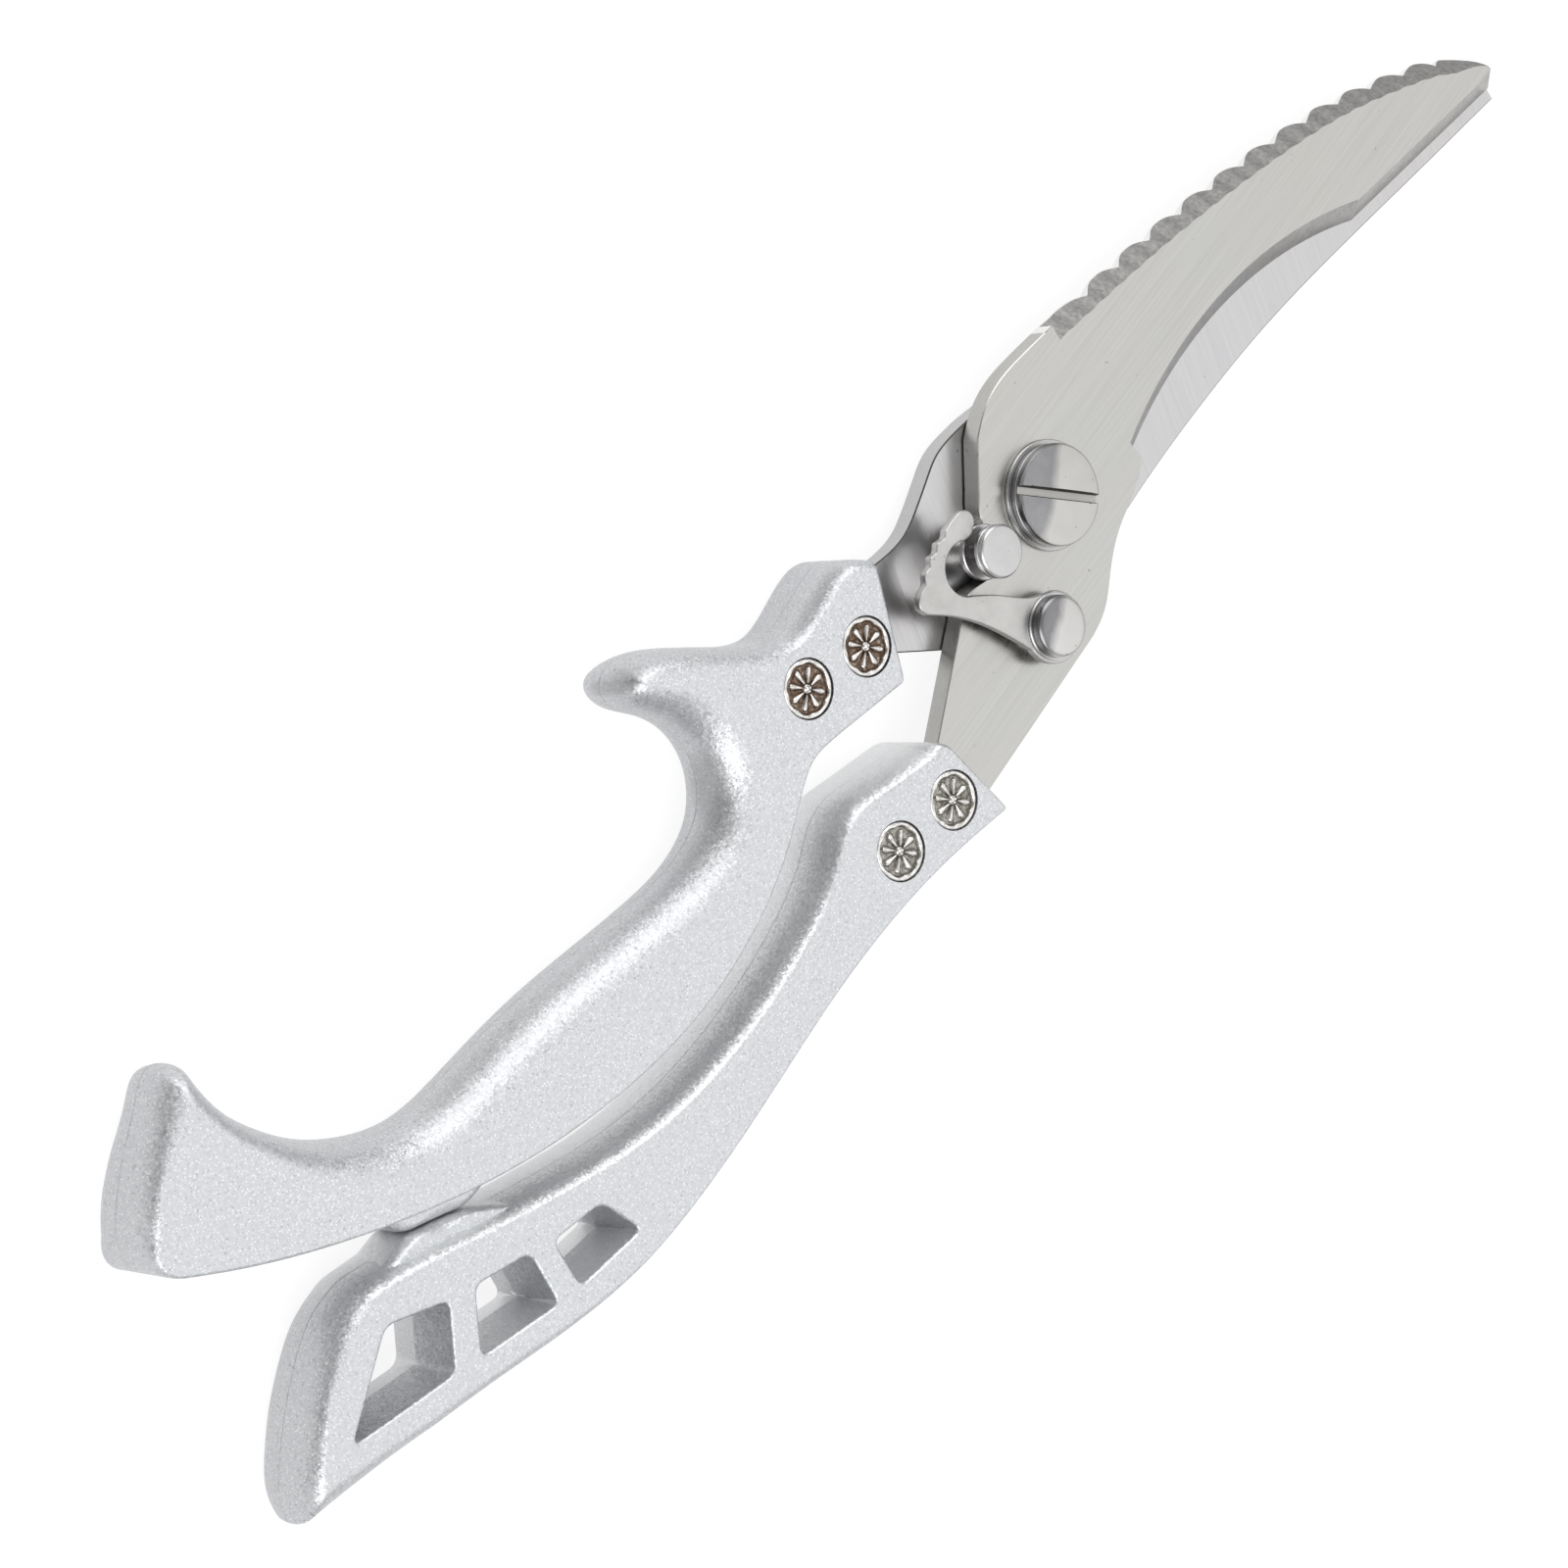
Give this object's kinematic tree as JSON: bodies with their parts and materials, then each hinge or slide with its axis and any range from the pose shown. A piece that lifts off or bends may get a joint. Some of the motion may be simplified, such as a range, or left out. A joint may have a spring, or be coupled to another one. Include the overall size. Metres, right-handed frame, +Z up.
{
  "type": "poultry shears",
  "caption": "Poultry shears with crossed steel blades, a toothed and hollow-ground edge, cast aluminium handles and a swinging latch that hooks on a stud.",
  "frame": {"origin": "under the middle of the closed shears' box, on the surface that the handles lie on", "axes": "+X to the blade tips, +Z up out of the screw's head along the pivot axis, +Y to the thumb handle"},
  "size_m": [0.2578, 0.0589, 0.0142],
  "materials": {
    "blade_steel": "brushed stainless plate with ground bevels",
    "cast_aluminium": "sand-blasted casting",
    "latch_steel": "tumbled stamping",
    "stud_steel": "turned",
    "screw_steel": "fine turned",
    "rivet_steel": "pressed rosette",
    "spring_steel": "drawn wire"
  },
  "bodies": {
    "thumb_half": {"thumb_handle": "cast_aluminium", "rear_blade": "blade_steel", "catch_stud": "stud_steel", "pivot_screw": "screw_steel", "screw_washer": "screw_steel", "nut_washer": "screw_steel", "pivot_nut": "screw_steel", "torsion_spring": "spring_steel", "thumb_front_rivet_post": "rivet_steel", "thumb_front_rivet_sleeve": "rivet_steel", "thumb_rear_rivet_post": "rivet_steel", "thumb_rear_rivet_sleeve": "rivet_steel"},
    "finger_half": {"finger_handle": "cast_aluminium", "front_blade": "blade_steel", "latch_rivet": "stud_steel", "latch_spacer": "stud_steel", "latch_washer": "stud_steel", "finger_front_rivet_post": "rivet_steel", "finger_front_rivet_sleeve": "rivet_steel", "finger_rear_rivet_post": "rivet_steel", "finger_rear_rivet_sleeve": "rivet_steel"},
    "latch": {"latch": "latch_steel"}
  },
  "joints": [
    {"name": "blade_joint", "type": "hinge", "parent": "thumb_half", "child": "finger_half", "pos_m": [0.03025, 0.00215, 0.0063], "axis": [0, 0, 1], "range_deg": [0, 40]},
    {"name": "latch_joint", "type": "hinge", "parent": "finger_half", "child": "latch", "pos_m": [0.01905, -0.00995, 0.0114], "axis": [0, 0, 1], "range_deg": [-8, 75]}
  ]
}
